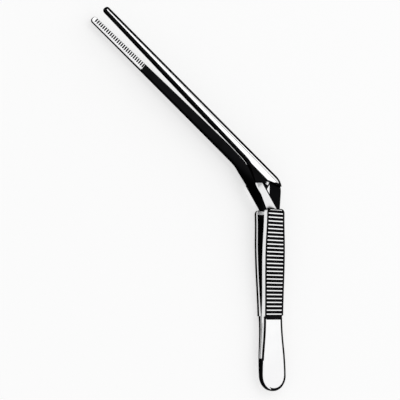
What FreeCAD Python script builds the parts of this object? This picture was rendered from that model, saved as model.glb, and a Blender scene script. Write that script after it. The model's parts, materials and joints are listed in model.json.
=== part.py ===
"""Angled dressing forceps: two spring arms welded at the heel.

Each arm has a rounded heel plate, a grip plate with ribs across its outer face, a neck that bends to
one side in the plane of the plate, and a slender finger that tapers to a serrated jaw.

Frame: the forceps lie on the lower arm. The origin is the middle of the lower arm's ribbed grip, on
the surface that it rests on. +Y runs along the handle towards the jaws, the fingers bend towards -X,
and +Z is the way the arms spread. An arm is first built on its own: there z is the height above the
plane where the two arms meet when the forceps are closed.
"""

import FreeCAD
import Part
import math
import os

from FreeCAD import Vector

# Handle, measured from the end of the heel along the handle
heel_radius = 5.9
heel_length = 29.9
heel_end_thickness = 1.1
heel_root_thickness = 2.4
waist_width = 8.9
grip_thickness = 2.6
grip_relief = 0.6
grip_relief_run = 6.5
grip_width = 9.6
grip_front_width = 8.6
grip_widest = 54.0
shoulder_radius = 1.7

# Ribs across the outer face of the grip
rib_count = 27
rib_pitch = 1.57
rib_groove_width = 0.95
rib_groove_floor = 0.5
rib_groove_depth = 0.45
grip_front_margin = 1.3

# Neck and finger
neck_left = 3.0
neck_right = 1.8
neck_length = 13.6
knee_right = 3.4
knee_offset = 4.0
knee_relief = 0.6
knee_outer_radius = 7.0
knee_inner_radius = 15.0
bend_angle = 52.3
finger_length = 93.2
finger_root_width = 4.7
finger_root = 10.0
finger_tip_width = 2.4
finger_tip_thickness = 1.9

# Facets ground on the outer face of the neck
facet_ridge_foot = 0.1
facet_ridge_top = 7.2
facet_length = 10.0
facet_bar_tilt = 40.0
facet_web_tilt = 24.0
facet_hollow_tilt = 10.0
facet_break_angle = 14.0
facet_reach = 20.0

# Serrations across the inner face of the jaw
tooth_count = 27
tooth_pitch = 0.96
tooth_width = 0.7
tooth_depth = 0.3
tooth_front_margin = 1.2

# Fits and motion
opening_angle = 5.3
knuckle_radius = 0.8
running_clearance = 0.03
shoulder_gap = 0.06
shoulder_relief = 0.25
root_gap = 0.3
jaw_gap = 0.06

# Edges
plate_edge_bevel = 0.45
finger_edge_bevel = 0.5
inner_edge_bevel = 0.2

# Worked out from the sizes above
grip_outer = grip_relief + grip_thickness
rib_zone = rib_count * rib_pitch
grip_length = rib_zone + grip_front_margin
grip_middle = heel_length + rib_zone / 2
grip_front = heel_length + grip_length
knee_y = grip_front + neck_length
jaw_plane = jaw_gap / 2
tip_outer = jaw_plane + finger_tip_thickness
jaw_length = tooth_front_margin + tooth_count * tooth_pitch
pivot_height = heel_root_thickness / 2
reach = 4 * grip_front
near = 0.01


def at(x, y, z=0.0):
    """A point of an arm, with y measured from the end of the heel."""
    return Vector(x, y - grip_middle, z)


def finger_direction():
    """Unit vector along the finger, towards the tip."""
    turn = math.radians(bend_angle)
    return Vector(-math.sin(turn), math.cos(turn), 0)


def finger_side():
    """Unit vector across the finger, towards the outside of the bend."""
    turn = math.radians(bend_angle)
    return Vector(math.cos(turn), math.sin(turn), 0)


def finger_point(along, across=0.0, z=0.0):
    """A point of the finger: along its axis from the knee, across it, and above the closing plane."""
    knee = at(-knee_offset, knee_y)
    return knee + finger_direction() * along + finger_side() * across + Vector(0, 0, z)


def outer_height(point):
    """Height of the outer face of the neck and finger, which slopes evenly from the grip to the tip."""
    foot = at(neck_right, grip_front) - finger_point(0)
    start = foot.dot(finger_direction())
    slope = (grip_outer - tip_outer) / (finger_length - start)
    run = (point - finger_point(0)).dot(finger_direction()) - start
    return grip_outer - slope * run


def line(a, b):
    """A straight edge."""
    return Part.LineSegment(a, b).toShape()


def slab(wire, low, high):
    """A prism on a flat outline at z = 0, from low to high."""
    face = Part.Face(wire)
    face.translate(Vector(0, 0, low))
    return face.extrude(Vector(0, 0, high - low))


def across_handle(profile):
    """A bar through the handle from side to side, with the given outline of (y, z) points."""
    points = [at(-reach, y, z) for y, z in profile]
    return Part.Face(Part.makePolygon(points + points[:1])).extrude(Vector(2 * reach, 0, 0))


def across_finger(profile):
    """A bar through the finger from side to side, with the given outline of (along, z) points."""
    points = [finger_point(along, -reach, z) for along, z in profile]
    return Part.Face(Part.makePolygon(points + points[:1])).extrude(finger_side() * (2 * reach))


def edges_at(shape, test):
    """The edges whose both ends and middle pass the test."""
    found = []
    for edge in shape.Edges:
        middle = edge.valueAt((edge.FirstParameter + edge.LastParameter) / 2)
        if all(test(v.Point) for v in edge.Vertexes) and test(middle):
            found.append(edge)
    return found


def ease(a, b):
    """Two arcs from a to b that leave and arrive along the handle."""
    middle = (a + b) / 2
    chord = middle - a
    bulge = chord.Length / 2 * math.tan(math.atan2(chord.x, chord.y) / 2)
    side = Vector(-chord.y, chord.x, 0).normalize() * bulge
    return [
        Part.Arc(a, (a + middle) / 2 + side, middle).toShape(),
        Part.Arc(middle, (middle + b) / 2 - side, b).toShape(),
    ]


def waist(side):
    """The point where the heel meets the grip. side is 1 or -1."""
    return at(side * waist_width / 2, heel_length)


def heel_outline():
    """The outline of the heel, seen from above."""
    left = at(-heel_radius, heel_radius)
    right = at(heel_radius, heel_radius)
    end = Part.Arc(left, at(0, 0), right).toShape()
    front = line(waist(1), waist(-1))
    return Part.Wire([end] + ease(right, waist(1)) + [front] + ease(left, waist(-1))[::-1])


def grip_side(side):
    """The edges of one side of the grip, from the waist to the front. side is 1 or -1."""
    half_front = grip_front_width / 2
    corner = shoulder_radius * (1 - math.sqrt(0.5))
    widest = at(side * grip_width / 2, grip_widest)
    front = at(side * half_front, grip_front - shoulder_radius)
    shoulder = Part.Arc(
        front,
        at(side * (half_front - corner), grip_front - corner),
        at(side * (half_front - shoulder_radius), grip_front),
    )
    return ease(waist(side), widest) + ease(widest, front) + [shoulder.toShape()]


def grip_outline():
    """The outline of the grip, seen from above."""
    half_nose = grip_front_width / 2 - shoulder_radius
    nose = line(at(half_nose, grip_front), at(-half_nose, grip_front))
    return Part.Wire([line(waist(-1), waist(1))] + grip_side(1) + [nose] + grip_side(-1)[::-1])


def bevelled(shape, width, on_edge):
    """The shape with the edges that pass the test bevelled."""
    return shape.makeChamfer(width, edges_at(shape, on_edge))


def heel_plate():
    """The heel of one arm: a plate that thickens towards the grip, bevelled round its rim."""
    profile = [
        (-heel_length, 0),
        (2 * heel_length, 0),
        (2 * heel_length, 2 * heel_root_thickness - heel_end_thickness),
        (-heel_length, 2 * heel_end_thickness - heel_root_thickness),
    ]
    plate = slab(heel_outline(), -reach, reach).common(across_handle(profile))
    front = at(0, heel_length).y

    def on_outer_rim(edge):
        return edge.BoundBox.ZMin > near and edge.BoundBox.YMin < front - near

    def on_seam(edge):
        return edge.BoundBox.ZMax < near and edge.BoundBox.YMin < front - near

    plate = plate.makeChamfer(plate_edge_bevel, [e for e in plate.Edges if on_outer_rim(e)])
    return plate.makeChamfer(inner_edge_bevel, [e for e in plate.Edges if on_seam(e)])


def grip_plate():
    """The grip of one arm, hollow on its inner side, bevelled round its outer rim and ribbed."""
    profile = [
        (heel_length, root_gap),
        (heel_length + grip_relief_run, grip_relief),
        (2 * grip_front, grip_relief),
        (2 * grip_front, grip_outer),
        (heel_length, grip_outer),
    ]
    plate = slab(grip_outline(), -reach, reach).common(across_handle(profile))
    half_nose = grip_front_width / 2 - shoulder_radius

    def on_rim(point):
        return point.z > grip_outer - near and abs(point.x) > half_nose - near

    return bevelled(plate, plate_edge_bevel, on_rim).cut(rib_grooves())


def knee_corner():
    """The outer corner of the knee, where the neck's side meets the finger's side."""
    root = finger_point(0, finger_root_width / 2)
    run = (root.x - knee_right) / finger_direction().x
    return root - finger_direction() * run


def finger_outline():
    """The outline of the neck and the finger, seen from above, with a half-round tip."""
    tip = finger_tip_width / 2
    tip_centre = finger_length - tip
    base = grip_front - grip_front_margin / 2
    return Part.Wire(
        [
            line(at(-neck_left, base), at(neck_right, base)),
            line(at(neck_right, base), knee_corner()),
            line(knee_corner(), finger_point(tip_centre, tip)),
            Part.Arc(
                finger_point(tip_centre, tip),
                finger_point(finger_length),
                finger_point(tip_centre, -tip),
            ).toShape(),
            line(finger_point(tip_centre, -tip), finger_point(finger_root, -finger_root_width / 2)),
            line(finger_point(finger_root, -finger_root_width / 2), at(-neck_left, base)),
        ]
    )


def finger_profile():
    """The side view of the neck and finger: flat inside, tapering outside."""
    past_tip = finger_length + finger_tip_width
    return [
        (-reach, jaw_plane),
        (past_tip, jaw_plane),
        (past_tip, outer_height(finger_point(past_tip))),
        (-reach, outer_height(finger_point(-reach))),
    ]


def finger_relief():
    """The cut inside the neck and finger that leaves the closed arms touching only at the jaws."""
    return across_finger(
        [
            (-reach, knee_relief),
            (finger_root, knee_relief),
            (finger_length - jaw_length, jaw_plane),
            (finger_length - jaw_length, -knee_relief),
            (-reach, -knee_relief),
        ]
    )


def tilted_block(start, along, tilt, length, side):
    """A block that stands on a tilted plane, to cut a facet.

    The plane passes through the level line from start along the given direction, and falls away from
    it to the left (side 1) or to the right (side -1).
    """
    across = Vector(-along.y, along.x, 0) * (side * facet_reach)
    up = Vector(0, 0, facet_reach)
    down = up * -math.tan(math.radians(tilt))
    corners = [start, start + across + down, start + across + up, start + up]
    return Part.Face(Part.makePolygon(corners + corners[:1])).extrude(along * length)


def neck_facets():
    """The blocks that cut the three facets of the neck: the bar, the hollow beside it, and the web."""
    top = at(-facet_ridge_top, grip_front + facet_length)
    ridge_height = outer_height(top)
    top.z = ridge_height
    foot = at(-facet_ridge_foot, grip_front, ridge_height)
    ridge = (top - foot).normalize()
    start = foot - ridge * (2 * grip_front_margin)
    run = top.distanceToPoint(start)
    facet_break = grip_front + facet_length
    below = block(0, facet_break, 0, reach)
    beyond = block(facet_break, reach, 0, reach)
    turn = math.radians(facet_break_angle)
    rise = math.tan(turn) * (facet_reach - facet_ridge_foot)
    along_break = Vector(math.cos(turn), -math.sin(turn), 0)
    break_start = at(-facet_reach, facet_break + rise, ridge_height - facet_reach / 2)
    before = tilted_block(break_start, along_break, 0, 2 * facet_reach, -1)
    bar = tilted_block(start, ridge, facet_bar_tilt, 2 * run, 1).common(below)
    hollow = tilted_block(start, ridge, facet_hollow_tilt, 2 * run, -1).common(before)
    web_height = outer_height(finger_point(finger_root))
    web_start = finger_point(-finger_root, -finger_root_width / 2, web_height)
    web = tilted_block(web_start, finger_direction(), facet_web_tilt, 3 * finger_root, 1).common(beyond)
    return [bar, hollow, web]


def finger_blank():
    """The neck and finger of one arm, without its teeth, with bevelled long edges."""
    outline = slab(finger_outline(), -reach, reach)
    corner = knee_corner()
    root = finger_point(finger_root, -finger_root_width / 2)

    def at_knee(point):
        return math.hypot(point.x - corner.x, point.y - corner.y) < near

    def at_root(point):
        return math.hypot(point.x - root.x, point.y - root.y) < near

    outline = outline.makeFillet(knee_outer_radius, edges_at(outline, at_knee))
    outline = outline.makeFillet(knee_inner_radius, edges_at(outline, at_root))
    blank = outline.common(across_finger(finger_profile()))
    base = at(0, grip_front - grip_front_margin / 2).y
    middle = (jaw_plane + tip_outer) / 2

    def on_outer_rim(point):
        return point.z > middle and point.y > base + near

    def on_inner_rim(point):
        return point.z < jaw_plane + near and point.y > base + near

    blank = bevelled(blank, finger_edge_bevel, on_outer_rim)
    return bevelled(blank, inner_edge_bevel, on_inner_rim).cut(finger_relief())


def rib_grooves():
    """The grooves between the ribs, with sloping sides."""
    floor = grip_outer - rib_groove_depth
    half_floor = rib_groove_floor / 2
    half_width = rib_groove_width / 2
    grooves = []
    for number in range(rib_count + 1):
        middle = heel_length + number * rib_pitch
        profile = [
            (middle - half_floor, floor),
            (middle + half_floor, floor),
            (middle + half_width, grip_outer),
            (middle + half_width, grip_outer + rib_groove_depth),
            (middle - half_width, grip_outer + rib_groove_depth),
            (middle - half_width, grip_outer),
        ]
        grooves.append(across_handle(profile))
    return grooves


def tooth_grooves(offset):
    """The grooves between the teeth of the jaw, moved along the finger by the offset."""
    grooves = []
    for number in range(tooth_count):
        middle = finger_length - tooth_front_margin - (number + 0.5) * tooth_pitch - offset
        profile = [
            (middle, jaw_plane + tooth_depth),
            (middle + tooth_width / 2, jaw_plane),
            (middle + tooth_width / 2, jaw_plane - tooth_depth),
            (middle - tooth_width / 2, jaw_plane - tooth_depth),
            (middle - tooth_width / 2, jaw_plane),
        ]
        grooves.append(across_finger(profile))
    return grooves


def arm(tooth_offset):
    """The free length of one arm, from the weld to the tip, closed and above the closing plane."""
    finger = finger_blank().cut(neck_facets()).cut(tooth_grooves(tooth_offset))
    return grip_plate().fuse(finger).removeSplitter()


def round_bar(y, z, radius):
    """A round bar across the handle, as wide as the waist."""
    return Part.makeCylinder(radius, waist_width, at(-waist_width / 2, y, z), Vector(1, 0, 0))


def block(y_low, y_high, z_low, z_high):
    """A block right across the handle."""
    return across_handle([(y_low, z_low), (y_high, z_low), (y_high, z_high), (y_low, z_high)])


def opened(shape):
    """An upper arm turned from closed to its rest position."""
    turned = shape.copy()
    turned.rotate(at(0, heel_length, pivot_height), Vector(1, 0, 0), opening_angle)
    return turned


def upper_arm():
    """The free part of the upper arm, at rest."""
    free = opened(arm(tooth_pitch / 2))
    free = free.cut(block(-reach, heel_length + shoulder_gap, pivot_height, reach))
    free = free.cut(block(-reach, heel_length + shoulder_relief, -reach, pivot_height))
    return free.fuse(round_bar(heel_length, pivot_height, knuckle_radius)).removeSplitter()


def lower_arm():
    """The lower arm with the heel plates of both arms welded together, at rest."""
    heel = heel_plate()
    lower = arm(0).fuse(heel).mirror(Vector(0, 0, 0), Vector(0, 0, 1))
    heel = heel.cut(
        Part.makeCylinder(
            knuckle_radius + running_clearance,
            2 * reach,
            at(-reach, heel_length, pivot_height),
            Vector(1, 0, 0),
        )
    )
    return lower.fuse(heel).removeSplitter()


def main():
    """Build the arms on their rest plane and write them."""
    os.makedirs("parts", exist_ok=True)
    parts = {"lower_arm": lower_arm(), "upper_arm": upper_arm()}
    for name, shape in parts.items():
        shape.translate(Vector(0, 0, grip_outer))
        shape.exportStep("parts/" + name + ".step")


main()
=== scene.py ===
import json
import logging
import math
from collections.abc import Callable
from dataclasses import dataclass, field
from enum import Enum

import bmesh
import bpy
from mathutils import Matrix, Vector


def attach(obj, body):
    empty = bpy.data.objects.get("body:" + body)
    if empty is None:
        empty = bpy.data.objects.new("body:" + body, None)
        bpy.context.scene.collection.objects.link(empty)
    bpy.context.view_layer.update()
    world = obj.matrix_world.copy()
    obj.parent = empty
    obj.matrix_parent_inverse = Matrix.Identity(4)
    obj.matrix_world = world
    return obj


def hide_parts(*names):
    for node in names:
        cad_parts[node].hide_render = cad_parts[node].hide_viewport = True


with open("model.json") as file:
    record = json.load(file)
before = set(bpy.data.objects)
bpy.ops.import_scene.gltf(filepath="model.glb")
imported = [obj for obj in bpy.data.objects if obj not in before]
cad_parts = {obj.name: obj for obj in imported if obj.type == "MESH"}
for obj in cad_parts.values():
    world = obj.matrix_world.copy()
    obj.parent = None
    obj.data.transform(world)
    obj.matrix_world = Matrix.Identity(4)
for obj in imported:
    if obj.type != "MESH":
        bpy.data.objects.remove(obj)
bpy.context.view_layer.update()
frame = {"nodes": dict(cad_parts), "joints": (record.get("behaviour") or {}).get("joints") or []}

log = logging.getLogger("dressing_forceps")

MM = 0.001

# How close points lie that are merged, and that a cut takes as one, in metres
MERGE_DISTANCE = 1e-6
CUT_TOLERANCE = 1e-7

# Faces that turn less than the first are joined, and edges that turn more than the second stay sharp
FLAT_ANGLE = math.radians(0.3)
SHARP_ANGLE = math.radians(20.0)

# How much of a face's normal lies along a direction, at least, for the face to look that way
SLANT = 0.5

# Sockets of the Mix node where it mixes colours
MIX_FACTOR = 0
MIX_FIRST = 6
MIX_SECOND = 7
MIX_RESULT = 2


class PaintedTone(Enum):
    """The painted light and painted shade of an arm, in the order of its material slots."""

    PAINTED_LIGHT = 0
    PAINTED_SHADE = 1


class Facing(Enum):
    """Kinds of face by how squarely they look away from the closing plane: the least and the most."""

    UPRIGHT = (-0.3, 0.3)
    INNER = (-1.01, -0.98)
    JAW = (-1.01, -SLANT)
    TOOTH = (-0.9, -SLANT)
    BAR = (0.74, 0.8)
    HOLLOW = (0.98, 0.99)
    OUTER = (0.98, 1.01)
    FINGER = (0.995, 1.01)


@dataclass(frozen=True)
class SteelPaintedTone:
    """A steel material in one painted tone, for the faces painted as lit or as shaded.

    Attributes:
        name: name of the Blender material.
        base: colour of the clean steel, which carries its painted light or painted shade.
        stain: colour of the dull patches.
        roughness: roughness of the clean steel.
        glare: how much of the light the steel sends back at a flat angle.
        spread: how much the roughness changes over the brushing.
        grain: depth of the brushing lines, in metres.
        grain_strength: how much of that depth shows.
        brushing: how many brushing lines there are to a metre, across and along the arm and upwards.
        line_detail: how fine the brushing lines break up.
        patches: how many dull patches there are to a metre.
        patch_detail: how fine the patches break up.
    """

    name: str
    base: tuple[float, float, float]
    stain: tuple[float, float, float]
    roughness: float
    glare: float
    spread: float = 0.08
    grain: float = 0.00001
    grain_strength: float = 0.3
    brushing: tuple[float, float, float] = (9000.0, 400.0, 400.0)
    line_detail: float = 3.0
    patches: float = 160.0
    patch_detail: float = 4.0

    def material(self) -> bpy.types.Material:
        """Build the finish.

        Returns:
            The Blender material, laid out in object coordinates.
        """
        steel = bpy.data.materials.new(self.name)
        steel.use_nodes = True
        tree = steel.node_tree
        shader = tree.nodes["Principled BSDF"]
        shader.inputs["Metallic"].default_value = 1.0
        shader.inputs["Specular Tint"].default_value = (self.glare, self.glare, self.glare, 1.0)
        place = tree.nodes.new("ShaderNodeTexCoord")
        brushing = tree.nodes.new("ShaderNodeMapping")
        brushing.inputs["Scale"].default_value = self.brushing
        lines = tree.nodes.new("ShaderNodeTexNoise")
        lines.inputs["Scale"].default_value = 1.0
        lines.inputs["Detail"].default_value = self.line_detail
        patches = tree.nodes.new("ShaderNodeTexNoise")
        patches.inputs["Scale"].default_value = self.patches
        patches.inputs["Detail"].default_value = self.patch_detail
        tree.links.new(place.outputs["Object"], brushing.inputs["Vector"])
        tree.links.new(brushing.outputs["Vector"], lines.inputs["Vector"])
        tree.links.new(place.outputs["Object"], patches.inputs["Vector"])
        tone = tree.nodes.new("ShaderNodeMix")
        tone.data_type = "RGBA"
        tone.inputs[MIX_FIRST].default_value = (*self.base, 1.0)
        tone.inputs[MIX_SECOND].default_value = (*self.stain, 1.0)
        tree.links.new(patches.outputs["Fac"], tone.inputs[MIX_FACTOR])
        tree.links.new(tone.outputs[MIX_RESULT], shader.inputs["Base Color"])
        gloss = tree.nodes.new("ShaderNodeMapRange")
        gloss.inputs["To Min"].default_value = self.roughness - self.spread
        gloss.inputs["To Max"].default_value = self.roughness + self.spread
        tree.links.new(lines.outputs["Fac"], gloss.inputs["Value"])
        tree.links.new(gloss.outputs["Result"], shader.inputs["Roughness"])
        bump = tree.nodes.new("ShaderNodeBump")
        bump.inputs["Strength"].default_value = self.grain_strength
        bump.inputs["Distance"].default_value = self.grain
        tree.links.new(lines.outputs["Fac"], bump.inputs["Height"])
        tree.links.new(bump.outputs["Normal"], shader.inputs["Normal"])
        return steel


# Two copies of one steel: a near-white one for painted light and a near-black one for painted shade and dark
# reflections.
PAINTED_LIGHT_STEEL = SteelPaintedTone(
    name="steel_painted_light",
    base=(0.97, 0.97, 0.97),
    stain=(0.92, 0.92, 0.93),
    roughness=0.38,
    glare=1.0,
)
PAINTED_SHADE_STEEL = SteelPaintedTone(
    name="steel_painted_shade",
    base=(0.003, 0.003, 0.003),
    stain=(0.008, 0.008, 0.009),
    roughness=0.34,
    glare=0.2,
)


@dataclass(frozen=True)
class ArmPlan:
    """Where the zones of painted light and painted shade of an arm lie, in millimetres, as in the part's
    source.

    Distances along the handle are measured from the end of the heel, and heights from the plane where
    the closed arms meet.

    Attributes:
        grip_middle: from the heel's end to the frame's origin.
        heel_length: length of the welded heel.
        heel_dark: length of the heel's end whose rim is painted shade.
        heel_turn: how far left of the middle the line of painted shade at the heel's end starts.
        step_line: width of the line of painted shadow on the heel behind the ribs.
        grip_front: where the neck starts.
        cap_start: where the band of painted light inside the grip's front end starts.
        cap_end: where that band ends, at the face that closes the grip's front.
        crest_margin: how far below the outer face of the grip the crest of a rib may lie.
        knee: where the neck ends.
        bar_end: where the painted highlight of the neck's bar ends, on the side of the neck beside it.
        glints: corners of the small painted highlights in the hollow of the neck.
        outer: height of the outer face of the grip.
        pivot_height: height of the flex line.
        bend: angle between the handle and the finger, in degrees.
        knee_offset: how far the finger's axis starts from the handle's.
        finger_length: length of the finger.
        jaw_length: length of the serrated part.
        jaw_side: height up to which the jaw's faces are painted light, its sides only on an arm whose jaw
            sides are painted light.
        tooth_end: where the painted shade of the teeth ends, from the finger's axis.
        tooth_root: height above which both flanks of a tooth are painted shade.
        edge_start: where the painted highlight along the finger's inner edge starts, from the knee.
        edge_end: where that painted highlight ends.
        edge_start_height: height of the painted highlight's upper line at its start.
        edge_end_height: height of that line at its end.
        outline: width of the line of painted shade inside the right-hand edge of an outer face.
        outline_left: width of the line of painted shade at the left-hand edge.
        rib_rim: width of the line of painted shade around the crest of a rib.
    """

    grip_middle: float = 51.095
    heel_length: float = 29.9
    heel_dark: float = 13.0
    heel_turn: float = 2.0
    step_line: float = 0.9
    grip_front: float = 73.59
    cap_start: float = 71.6
    cap_end: float = 73.0
    crest_margin: float = 0.1
    knee: float = 87.19
    bar_end: float = 83.5
    glints: tuple[tuple[tuple[float, float], ...], ...] = (
        ((-6.4, 84.1), (-4.2, 83.0), (-3.2, 84.5)),
        ((-4.7, 81.3), (-3.5, 79.4), (-3.2, 83.3)),
    )
    outer: float = 3.2
    pivot_height: float = 1.2
    bend: float = 52.3
    knee_offset: float = 4.0
    finger_length: float = 93.2
    jaw_length: float = 27.12
    jaw_side: float = 0.4
    tooth_end: float = -0.5
    tooth_root: float = 0.2
    edge_start: float = 9.5
    edge_end: float = 29.0
    edge_start_height: float = 0.8
    edge_end_height: float = 0.95
    outline: float = 0.7
    outline_left: float = 0.35
    rib_rim: float = 0.09

    def finger_direction(self) -> Vector:
        """Unit vector along the finger, towards the tip."""
        turn = math.radians(self.bend)
        return Vector((-math.sin(turn), math.cos(turn), 0))

    def along_finger(self, x: float, along: float) -> float:
        """Distance along the finger from the knee.

        Args:
            x: sideways place.
            along: distance from the heel's end.

        Returns:
            The distance in millimetres.
        """
        direction = self.finger_direction()
        return (x + self.knee_offset) * direction.x + (along - self.knee) * direction.y

    def across_finger(self, x: float, along: float) -> float:
        """Distance from the finger's axis, positive on the outside of the bend.

        Args:
            x: sideways place.
            along: distance from the heel's end.

        Returns:
            The distance in millimetres.
        """
        direction = self.finger_direction()
        return (x + self.knee_offset) * direction.y - (along - self.knee) * direction.x

    def on_finger(self, distance: float, across: float) -> tuple[float, float]:
        """The place of a point of the finger.

        Args:
            distance: distance along the finger from the knee.
            across: distance from its axis, positive on the outside of the bend.

        Returns:
            Sideways place and distance from the heel's end.
        """
        direction = self.finger_direction()
        x = distance * direction.x + across * direction.y - self.knee_offset
        return x, distance * direction.y - across * direction.x + self.knee


@dataclass(frozen=True)
class Spot:
    """Where a face lies on the closed arm, in millimetres.

    Attributes:
        x: sideways place of its middle.
        along: distance from the heel's end.
        height: distance from the closing plane.
        finger: distance along the finger from the knee.
        across: distance from the finger's axis.
        outward: how squarely it looks away from the closing plane, 1 at most.
        forward: how squarely it looks along the finger, 1 at most.
        mirrored: whether it lies on the other side of the closing plane from its arm.
    """

    x: float
    along: float
    height: float
    finger: float
    across: float
    outward: float
    forward: float
    mirrored: bool

    def faces(self, facing: Facing) -> bool:
        """Whether the face is of a kind."""
        least, most = facing.value
        return least < self.outward < most

    @property
    def upright(self) -> bool:
        """Whether the face stands on the closing plane."""
        return self.faces(Facing.UPRIGHT)

    @property
    def level(self) -> bool:
        """Whether the face lies along the closing plane."""
        return self.faces(Facing.OUTER) or self.faces(Facing.INNER)


@dataclass
class Arm:
    """One arm of the forceps, dressed from a copy of its CAD node.

    Attributes:
        node: the CAD node and body of the arm.
        lean: how far the arm is turned open, in degrees.
        side: 1 where the outer face is up, -1 where it is down.
        jaw_painted_tone: painted light or painted shade of the jaw's sides.
        side_line: height above which the sides of the grip are painted shade.
        heel_line: height above which the sides of the heel are painted shade.
        plan: where the zones of painted light and painted shade lie.
    """

    node: str
    lean: float
    side: int
    jaw_painted_tone: PaintedTone
    side_line: float
    heel_line: float
    plan: ArmPlan = field(default_factory=ArmPlan)

    def opening(self, sign: int) -> Matrix:
        """The turn between the closed arm and the arm at rest.

        Args:
            sign: 1 to open, -1 to close.

        Returns:
            The rotation.
        """
        return Matrix.Rotation(math.radians(sign * self.lean), 3, "X")

    def flex_line(self) -> Vector:
        """A point of the flex line, with the arm's own distances."""
        return Vector((0, self.plan.heel_length, self.plan.pivot_height))

    def at_rest(self, x: float, along: float, height: float) -> Vector:
        """The place at rest of a point of the closed arm.

        Args:
            x: sideways place in millimetres.
            along: distance from the heel's end in millimetres.
            height: distance from the closing plane in millimetres.

        Returns:
            The point in metres.
        """
        flex = self.flex_line()
        place = self.opening(1) @ (Vector((x, along, self.side * height)) - flex) + flex
        return (place - Vector((0, self.plan.grip_middle, -self.plan.outer))) * MM

    def outward(self) -> Vector:
        """The direction that the arm's outer face looks in at rest."""
        return self.opening(1) @ Vector((0, 0, self.side))

    def spot(self, face: bmesh.types.BMFace) -> Spot:
        """Find where a face lies on the closed arm.

        Args:
            face: a face of the arm at rest.

        Returns:
            Its place and facing.
        """
        plan = self.plan
        flex = self.flex_line()
        place = face.calc_center_median() / MM + Vector((0, plan.grip_middle, -plan.outer))
        middle = self.opening(-1) @ (place - flex) + flex
        normal = self.opening(-1) @ face.normal
        mirrored = middle.z * self.side < 0
        return Spot(
            x=middle.x,
            along=middle.y,
            height=abs(middle.z),
            finger=plan.along_finger(middle.x, middle.y),
            across=plan.across_finger(middle.x, middle.y),
            outward=normal.z * self.side * (-1 if mirrored else 1),
            forward=normal.dot(plan.finger_direction()),
            mirrored=mirrored,
        )

    def copy_mesh(self) -> bmesh.types.BMesh:
        """Copy the CAD node, merge its loose triangles and join its flat faces.

        Returns:
            The new mesh in edit form.
        """
        shape = bmesh.new()
        shape.from_mesh(frame["nodes"][self.node].data)
        bmesh.ops.remove_doubles(shape, verts=shape.verts, dist=MERGE_DISTANCE)
        bmesh.ops.dissolve_limit(
            shape,
            angle_limit=FLAT_ANGLE,
            use_dissolve_boundaries=False,
            verts=shape.verts,
            edges=shape.edges,
            delimit=set(),
        )
        return shape

    def cut(
        self, shape: bmesh.types.BMesh, test: Callable[[Spot], bool], place: Vector, normal: Vector
    ) -> None:
        """Cut an edge along a plane into some of the faces.

        Args:
            shape: the mesh.
            test: tells which faces are cut.
            place: a point of the plane at rest, in metres.
            normal: the plane's normal.
        """
        faces = [f for f in shape.faces if test(self.spot(f))]
        edges = {e for f in faces for e in f.edges}
        verts = {v for f in faces for v in f.verts}
        bmesh.ops.bisect_plane(
            shape,
            geom=[*verts, *edges, *faces],
            plane_co=place,
            plane_no=normal,
            dist=CUT_TOLERANCE,
        )

    def on_side(self, spot: Spot) -> bool:
        """Whether a face is a side of the arm."""
        return spot.upright

    def on_handle(self, spot: Spot) -> bool:
        """Whether a face is a level one of the handle or the neck."""
        return spot.level and spot.along < self.plan.knee

    def in_jaw(self, spot: Spot) -> bool:
        """Whether a face belongs to the serrated jaw."""
        return spot.finger > self.plan.finger_length - self.plan.jaw_length

    def on_tooth(self, spot: Spot) -> bool:
        """Whether a face is a flank of a tooth."""
        return self.in_jaw(spot) and spot.height < self.plan.jaw_side and spot.faces(Facing.TOOTH)

    def in_hollow(self, spot: Spot) -> bool:
        """Whether a face belongs to the hollow facet of the neck."""
        return self.plan.grip_front < spot.along < self.plan.knee and spot.faces(Facing.HOLLOW)

    def inside_bend(self, spot: Spot) -> bool:
        """Whether a face is a side of the upper arm on the inside of the bend."""
        return self.side > 0 and spot.upright and spot.across < 0

    def beside_bar(self, spot: Spot) -> bool:
        """Whether a face is the side of the neck next to its bar, which is painted light."""
        return self.inside_bend(spot) and self.plan.grip_front < spot.along < self.plan.knee

    def beside_finger(self, spot: Spot) -> bool:
        """Whether a face is the side of the finger."""
        return self.inside_bend(spot) and spot.finger > 0

    def beside_slit(self, spot: Spot) -> bool:
        """Whether a face is the part of the finger's side where its inner edge gets a painted highlight."""
        return self.beside_finger(spot) and self.plan.edge_start < spot.finger < self.plan.edge_end

    def under_edge_line(self, spot: Spot) -> bool:
        """Whether a face lies under the upper line of the painted highlight on the finger's inner edge."""
        plan = self.plan
        share = (spot.finger - plan.edge_start) / (plan.edge_end - plan.edge_start)
        return spot.height < plan.edge_start_height + (plan.edge_end_height - plan.edge_start_height) * share

    def under_bar_line(self, spot: Spot) -> bool:
        """Whether a face lies under the slanted end of the painted highlight beside the neck's bar."""
        plan = self.plan
        share = (plan.bar_end - spot.along) / (plan.bar_end - plan.grip_front)
        return spot.height <= plan.outer * share

    def cut_handle(self, shape: bmesh.types.BMesh) -> None:
        """Cut the zones of painted light and painted shade of the heel and the grip, and the height lines
        along all sides.

        Args:
            shape: the mesh.
        """
        plan = self.plan
        along = Vector((0, 1, 0))
        for height in (self.side_line, self.heel_line, plan.jaw_side):
            self.cut(shape, self.on_side, self.at_rest(0, plan.heel_length, height), self.outward())
        self.cut(shape, self.on_side, self.at_rest(0, plan.heel_dark, 0), along)
        jaw_start = plan.on_finger(plan.finger_length - plan.jaw_length, 0)
        self.cut(shape, self.on_side, self.at_rest(*jaw_start, 0), plan.finger_direction())
        for place in (plan.heel_length - plan.step_line, plan.cap_start, plan.cap_end):
            self.cut(shape, self.on_handle, self.at_rest(0, place, 0), along)

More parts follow.
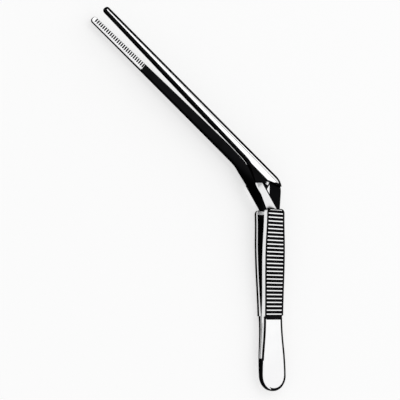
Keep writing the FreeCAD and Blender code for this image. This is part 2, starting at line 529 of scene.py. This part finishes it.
    def cut_teeth(self, shape: bmesh.types.BMesh) -> None:
        """Cut the teeth where their painted shade ends and where their roots start.

        Args:
            shape: the mesh.
        """
        plan = self.plan
        direction = plan.finger_direction()
        across = Vector((direction.y, -direction.x, 0))
        tooth_end = plan.on_finger(plan.finger_length, plan.tooth_end)
        self.cut(shape, self.on_tooth, self.at_rest(*tooth_end, 0), across)
        root = self.at_rest(0, plan.heel_length, plan.tooth_root)
        self.cut(shape, self.on_tooth, root, self.outward())

    def cut_bar(self, shape: bmesh.types.BMesh) -> None:
        """Cut the painted highlight beside the neck's bar.

        Args:
            shape: the mesh.
        """
        plan = self.plan
        slope = Vector((0, plan.outer, self.side * (plan.bar_end - plan.grip_front)))
        foot = self.at_rest(0, plan.grip_front, plan.outer)
        self.cut(shape, self.beside_bar, foot, self.opening(1) @ slope)
        self.cut(shape, self.beside_bar, self.at_rest(0, plan.bar_end, 0), Vector((0, 1, 0)))

    def cut_edge_light(self, shape: bmesh.types.BMesh) -> None:
        """Cut the painted highlight along the finger's inner edge.

        Args:
            shape: the mesh.
        """
        plan = self.plan
        along = plan.finger_direction()
        rise = self.side * (plan.edge_end_height - plan.edge_start_height)
        upper_line = Vector((-rise * along.x, -rise * along.y, plan.edge_end - plan.edge_start))
        start = self.at_rest(*plan.on_finger(plan.edge_start, 0), plan.edge_start_height)
        end = self.at_rest(*plan.on_finger(plan.edge_end, 0), plan.edge_end_height)
        self.cut(shape, self.beside_finger, start, self.opening(1) @ along)
        self.cut(shape, self.beside_finger, end, self.opening(1) @ along)
        self.cut(shape, self.beside_slit, start, self.opening(1) @ upper_line)

    def paint_hollow_highlights(self, shape: bmesh.types.BMesh) -> None:
        """Set the small painted highlights in the hollow of the neck.

        Args:
            shape: the mesh, with its painted light and shade set.
        """
        for corners in self.plan.glints:
            sides = list(zip(corners, corners[1:] + corners[:1]))
            for (x, along), (next_x, next_along) in sides:
                normal = Vector((next_along - along, x - next_x, 0))
                self.cut(shape, self.in_hollow, self.at_rest(x, along, self.plan.outer), normal)
            for face in shape.faces:
                spot = self.spot(face)
                inside = all(
                    (next_x - x) * (spot.along - along) > (next_along - along) * (spot.x - x)
                    for (x, along), (next_x, next_along) in sides
                )
                # Faces inside a triangle get a painted highlight.
                if inside and self.in_hollow(spot):
                    face.material_index = PaintedTone.PAINTED_LIGHT.value

    def painted_tone_of(self, spot: Spot) -> PaintedTone:
        """Choose the painted light or painted shade of a face.

        Args:
            spot: where the face lies.

        Returns:
            Painted light for the ground faces that would catch the light, painted shade for grooves, sides
            and bevels.
        """
        if spot.along < self.plan.heel_length:
            bright = self.heel_is_bright(spot)
        elif spot.along < self.plan.grip_front:
            bright = self.grip_is_bright(spot)
        else:
            bright = self.finger_is_bright(spot)
        return PaintedTone.PAINTED_LIGHT if bright else PaintedTone.PAINTED_SHADE

    def heel_is_bright(self, spot: Spot) -> bool:
        """Choose the painted light or painted shade of a face of the heel.

        Args:
            spot: where the face lies.

        Returns:
            Whether it is bright.
        """
        plan = self.plan
        # The band before the ribs is a painted shadow line with painted light on its slanted ends; the
        # heel's end rim and upper sides are painted shade.
        near_step = spot.along > plan.heel_length - plan.step_line
        if spot.level:
            return not near_step
        if spot.upright:
            return spot.along > plan.heel_dark and (spot.mirrored or spot.height < self.heel_line)
        return near_step and abs(spot.outward) > SLANT and spot.height > plan.pivot_height

    def grip_is_bright(self, spot: Spot) -> bool:
        """Choose the painted light or painted shade of a face of the grip.

        Args:
            spot: where the face lies.

        Returns:
            Whether it is bright.
        """
        plan = self.plan
        # The grip's sides are painted light below the side line, and painted shade above it and on the face
        # closing its front.
        if spot.upright:
            closes_front = spot.along > plan.cap_end
            return spot.height < self.side_line and not closes_front
        # A band of the inner face at the grip's front end is painted light.
        if spot.faces(Facing.INNER):
            return plan.cap_start < spot.along < plan.cap_end
        return spot.faces(Facing.OUTER) and spot.height > plan.outer - plan.crest_margin

    def finger_is_bright(self, spot: Spot) -> bool:
        """Choose the painted light or painted shade of a face of the neck or the finger.

        Args:
            spot: where the face lies.

        Returns:
            Whether it is bright.
        """
        plan = self.plan
        # The finger's outer face and the neck's bar are painted light.
        on_bar = spot.faces(Facing.BAR) and spot.along < plan.knee
        if spot.faces(Facing.FINGER) or on_bar:
            return True
        # The side beside the bar is painted light above its slanted line, as the bar's highlight wrapping
        # onto it.
        if self.beside_bar(spot) and spot.along < plan.bar_end:
            return not self.under_bar_line(spot)
        # A line of painted light runs along the lower edge of the finger's side.
        if self.beside_slit(spot):
            return self.under_edge_line(spot)
        if not self.in_jaw(spot):
            return False
        # A tooth's flank is painted shade where it faces the tip or lies high in the root, except a strip on
        # the inside of the bend, which is painted light.
        if self.on_tooth(spot):
            in_root = spot.forward > 0 or spot.height > plan.tooth_root
            return not in_root or spot.across < plan.tooth_end
        # The jaw's low sides and bevels are painted light, its tip and upper sides painted shade.
        if spot.upright:
            at_tip = spot.forward > SLANT
            return spot.height < plan.jaw_side and self.jaw_painted_tone is PaintedTone.PAINTED_LIGHT and not at_tip
        return spot.faces(Facing.JAW) and spot.height < plan.jaw_side

    def line_rib(self, shape: bmesh.types.BMesh, crest: bmesh.types.BMFace) -> None:
        """Set the line of painted shade around a rib, which is wider at its right-hand end.

        Args:
            shape: the mesh.
            crest: the rib's top face.
        """
        plan = self.plan
        rim = bmesh.ops.inset_region(
            shape, faces=[crest], use_boundary=True, use_even_offset=True, thickness=plan.rib_rim * MM
        )
        for face in rim["faces"]:
            face.material_index = PaintedTone.PAINTED_SHADE.value
        end = max(v.co.x for v in crest.verts) - (plan.outline - plan.rib_rim) * MM
        halves = bmesh.ops.bisect_plane(
            shape,
            geom=[crest, *crest.edges, *crest.verts],
            plane_co=Vector((end, 0, 0)),
            plane_no=Vector((1, 0, 0)),
            dist=CUT_TOLERANCE,
        )
        for part in halves["geom"]:
            if isinstance(part, bmesh.types.BMFace) and part.calc_center_median().x > end:
                part.material_index = PaintedTone.PAINTED_SHADE.value

    def line_is_dark(self, spot: Spot, outermost: bool) -> bool:
        """Choose whether a face inside the edge of an outer face gets painted light or painted shade.

        Args:
            spot: where the face lies.
            outermost: whether it touches the edge, where the left-hand line is painted shade as well.

        Returns:
            Whether it is dark.
        """
        plan = self.plan
        if spot.along > plan.heel_length:
            return outermost or spot.across > 0
        if spot.along > plan.heel_dark:
            return outermost or spot.x > 0
        return spot.x > -plan.heel_turn

    def line_face(self, shape: bmesh.types.BMesh, faces: list[bmesh.types.BMFace]) -> None:
        """Set a line of painted shade inside the edges of the heel's or the finger's outer face.

        Args:
            shape: the mesh.
            faces: the faces that make up the outer face.
        """
        plan = self.plan
        for outermost, width in ((True, plan.outline_left), (False, plan.outline - plan.outline_left)):
            inset = bmesh.ops.inset_region(
                shape, faces=faces, use_boundary=True, use_even_offset=True, thickness=width * MM
            )
            for face in inset["faces"]:
                dark = self.line_is_dark(self.spot(face), outermost)
                face.material_index = (PaintedTone.PAINTED_SHADE if dark else PaintedTone.PAINTED_LIGHT).value

    def line_outer_faces(self, shape: bmesh.types.BMesh) -> None:
        """Set a narrow line of painted shade inside the edges of the outer faces.

        Args:
            shape: the mesh, with its painted light and shade set.
        """
        plan = self.plan
        heel, mirrored_heel, ribs, finger = [], [], [], []
        for face in shape.faces:
            spot = self.spot(face)
            bright = face.material_index == PaintedTone.PAINTED_LIGHT.value
            if not bright or not spot.faces(Facing.OUTER) or self.in_hollow(spot):
                continue
            if spot.along < plan.heel_length:
                (mirrored_heel if spot.mirrored else heel).append(face)
            else:
                (ribs if spot.along < plan.grip_front else finger).append(face)
        for crest in ribs:
            self.line_rib(shape, crest)
        for faces in (heel, mirrored_heel, finger):
            if faces:
                self.line_face(shape, faces)

    def build(self) -> bpy.types.Object:
        """Build the arm and let it ride on its body.

        Returns:
            The finished piece.
        """
        shape = self.copy_mesh()
        self.cut_handle(shape)
        self.cut_teeth(shape)
        self.cut_bar(shape)
        self.cut_edge_light(shape)
        # Each face gets painted light or painted shade by where it lies and which way it faces.
        for face in shape.faces:
            face.material_index = self.painted_tone_of(self.spot(face)).value
            face.smooth = True
        self.paint_hollow_highlights(shape)
        self.line_outer_faces(shape)
        mesh = bpy.data.meshes.new(self.node + "_steel")
        shape.to_mesh(mesh)
        shape.free()
        mesh.materials.append(PAINTED_LIGHT_STEEL.material())
        mesh.materials.append(PAINTED_SHADE_STEEL.material())
        mesh.set_sharp_from_angle(angle=SHARP_ANGLE)
        piece = bpy.data.objects.new(self.node + "_steel", mesh)
        bpy.context.scene.collection.objects.link(piece)
        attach(piece, self.node)
        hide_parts(self.node)
        return piece


@dataclass
class Studio:
    """The pale floor, the soft light and the camera, in metres.

    Attributes:
        floor_size: edge of the floor.
        floor_colour: colour of the floor.
        floor_glow: share of plain white that the camera and the metal see in the floor.
        sky: strength of the white world.
        key_power: power of the overhead soft box.
        key_size: edge of the soft box.
        key_place: where the soft box hangs.
        key_aim: the point that it faces.
        camera_place: where the camera stands.
        camera_forward: the way it looks.
        camera_up: the up direction of its picture.
        lens: focal length in millimetres.
        sensor: width of the camera's sensor in millimetres.
        clip_start: how near the camera sees.
    """

    floor_size: float = 6.0
    floor_colour: tuple[float, float, float] = (0.97, 0.97, 0.97)
    floor_glow: float = 0.55
    sky: float = 0.9
    key_power: float = 0.6
    key_size: float = 0.6
    key_place: Vector = field(default_factory=lambda: Vector((0.3, 0.25, 0.8)))
    key_aim: Vector = field(default_factory=lambda: Vector((0, 0.03, 0)))
    camera_place: Vector = field(default_factory=lambda: Vector((-0.19266, -0.03229, 0.28755)))
    camera_forward: Vector = field(default_factory=lambda: Vector((0.48491, 0.1717, -0.85753)))
    camera_up: Vector = field(default_factory=lambda: Vector((-0.06721, 0.98491, 0.15922)))
    lens: float = 74.83
    sensor: float = 36.0
    clip_start: float = 0.01

    def lay_floor(self) -> None:
        """Lay the floor under the forceps."""
        mesh = bpy.data.meshes.new("floor")
        shape = bmesh.new()
        bmesh.ops.create_grid(shape, x_segments=1, y_segments=1, size=self.floor_size / 2)
        shape.to_mesh(mesh)
        shape.free()
        floor = bpy.data.objects.new("floor", mesh)
        bpy.context.scene.collection.objects.link(floor)
        white = bpy.data.materials.new("floor_white")
        white.use_nodes = True
        shader = white.node_tree.nodes["Principled BSDF"]
        shader.inputs["Base Color"].default_value = (*self.floor_colour, 1.0)
        shader.inputs["Roughness"].default_value = 1.0
        shader.inputs["Specular IOR Level"].default_value = 0.0
        self.whiten(white.node_tree, shader)
        mesh.materials.append(white)

    def whiten(self, tree: bpy.types.NodeTree, shader: bpy.types.Node) -> None:
        """Mix plain white into a surface for camera, glossy and transmitted rays.

        Args:
            tree: the material's node tree.
            shader: its surface shader.
        """
        path = tree.nodes.new("ShaderNodeLightPath")
        seen = path.outputs["Is Camera Ray"]
        for name in ("Is Glossy Ray", "Is Transmission Ray"):
            either = tree.nodes.new("ShaderNodeMath")
            either.operation = "MAXIMUM"
            tree.links.new(seen, either.inputs[0])
            tree.links.new(path.outputs[name], either.inputs[1])
            seen = either.outputs["Value"]
        share = tree.nodes.new("ShaderNodeMath")
        share.operation = "MULTIPLY"
        share.inputs[1].default_value = self.floor_glow
        tree.links.new(seen, share.inputs[0])
        glow = tree.nodes.new("ShaderNodeEmission")
        mixed = tree.nodes.new("ShaderNodeMixShader")
        tree.links.new(share.outputs["Value"], mixed.inputs["Fac"])
        tree.links.new(shader.outputs["BSDF"], mixed.inputs[1])
        tree.links.new(glow.outputs["Emission"], mixed.inputs[2])
        tree.links.new(mixed.outputs["Shader"], tree.nodes["Material Output"].inputs["Surface"])

    def light(self) -> None:
        """Set the white world and the soft box."""
        world = bpy.data.worlds.new("world")
        world.use_nodes = True
        sky = world.node_tree.nodes["Background"]
        sky.inputs["Color"].default_value = (1.0, 1.0, 1.0, 1.0)
        sky.inputs["Strength"].default_value = self.sky
        bpy.context.scene.world = world
        lamp = bpy.data.lights.new("soft_box", "AREA")
        lamp.energy = self.key_power
        lamp.shape = "SQUARE"
        lamp.size = self.key_size
        box = bpy.data.objects.new("soft_box", lamp)
        box.location = self.key_place
        box.rotation_euler = (self.key_aim - self.key_place).to_track_quat("-Z", "Y").to_euler()
        bpy.context.scene.collection.objects.link(box)

    def place_camera(self) -> None:
        """Set the camera at the photograph's viewing angle."""
        lens = bpy.data.cameras.new("camera")
        lens.lens = self.lens
        lens.sensor_width = self.sensor
        lens.clip_start = self.clip_start
        camera = bpy.data.objects.new("camera", lens)
        back = -self.camera_forward.normalized()
        right = self.camera_up.cross(back).normalized()
        up = back.cross(right)
        turn = Matrix((right, up, back)).transposed().to_4x4()
        camera.matrix_world = Matrix.Translation(self.camera_place) @ turn
        bpy.context.scene.collection.objects.link(camera)
        bpy.context.scene.camera = camera

    def build(self) -> None:
        """Build the whole studio."""
        bpy.context.scene.view_settings.view_transform = "Standard"
        self.lay_floor()
        self.light()
        self.place_camera()


def main() -> None:
    """Build the arms and the studio, and report each piece."""
    logging.basicConfig(level=logging.INFO)
    joint = frame["joints"][0]
    lower_arm = Arm(
        node="lower_arm",
        lean=0.0,
        side=-1,
        jaw_painted_tone=PaintedTone.PAINTED_LIGHT,
        side_line=1.4,
        heel_line=0.45,
    )
    upper_arm = Arm(
        node="upper_arm",
        lean=-joint["range_deg"][0],
        side=1,
        jaw_painted_tone=PaintedTone.PAINTED_SHADE,
        side_line=3.0,
        heel_line=3.0,
    )
    for arm in (lower_arm, upper_arm):
        piece = arm.build()
        log.info("%s: %d faces", piece.name, len(piece.data.polygons))
    Studio().build()


if __name__ == "__main__":
    main()
